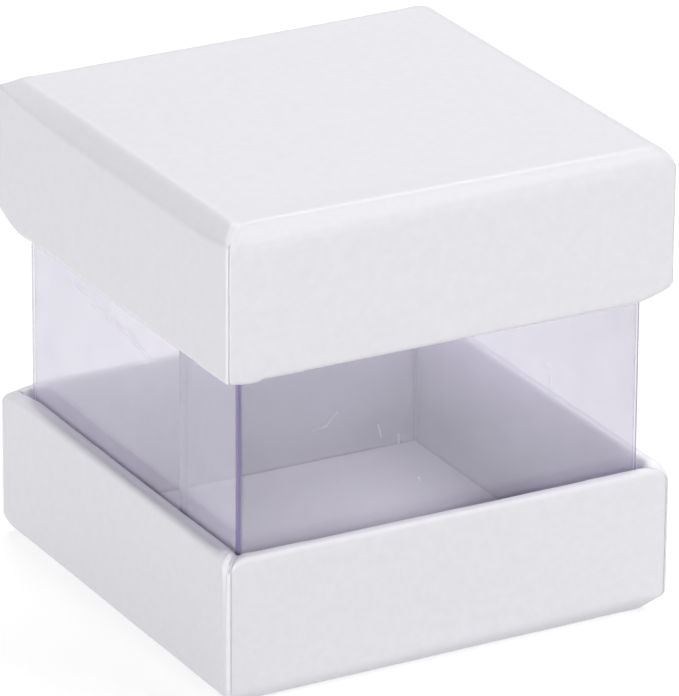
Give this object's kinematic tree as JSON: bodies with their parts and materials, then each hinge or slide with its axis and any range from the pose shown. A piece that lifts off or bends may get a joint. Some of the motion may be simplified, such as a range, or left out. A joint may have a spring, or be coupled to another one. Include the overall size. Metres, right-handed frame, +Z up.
{
  "type": "favor box",
  "caption": "Square party favor box: a white paper-wrapped board tray, a matching lift-off lid and a clear folded film sleeve that stands between them and shows the gift.",
  "frame": {"origin": "centre of the tray's underside, on the surface that the box stands on", "axes": "+Z up through the lid, -Y towards the box's front, +X to the right seen from the front"},
  "size_m": [0.0508, 0.0508, 0.0508],
  "materials": {
    "wrap_paper": "smooth white coated paper, satin",
    "liner_paper": "smooth white paper, matt",
    "greyboard": "white-lined board, matt",
    "stay_tape": "white paper tape, matt",
    "clear_film": "clear gloss film with a faint lavender cast",
    "clear_glue": "clear dried glue, slightly hazy"
  },
  "bodies": {
    "tray": {"tray_board": "greyboard", "tray_wrap": "wrap_paper", "tray_liner": "liner_paper", "tray_stay_front_left": "stay_tape", "tray_stay_front_right": "stay_tape", "tray_stay_back_left": "stay_tape", "tray_stay_back_right": "stay_tape"},
    "sleeve": {"sleeve_film": "clear_film", "sleeve_glue_line": "clear_glue"},
    "lid": {"lid_board": "greyboard", "lid_wrap": "wrap_paper", "lid_liner": "liner_paper", "lid_stay_front_left": "stay_tape", "lid_stay_front_right": "stay_tape", "lid_stay_back_left": "stay_tape", "lid_stay_back_right": "stay_tape"}
  },
  "joints": [
    {"name": "sleeve_lift", "type": "slide", "parent": "tray", "child": "sleeve", "axis": [0, 0, 1], "range_m": [0, 0.02]},
    {"name": "lid_lift", "type": "slide", "parent": "sleeve", "child": "lid", "axis": [0, 0, 1], "range_m": [0, 0.02]}
  ]
}
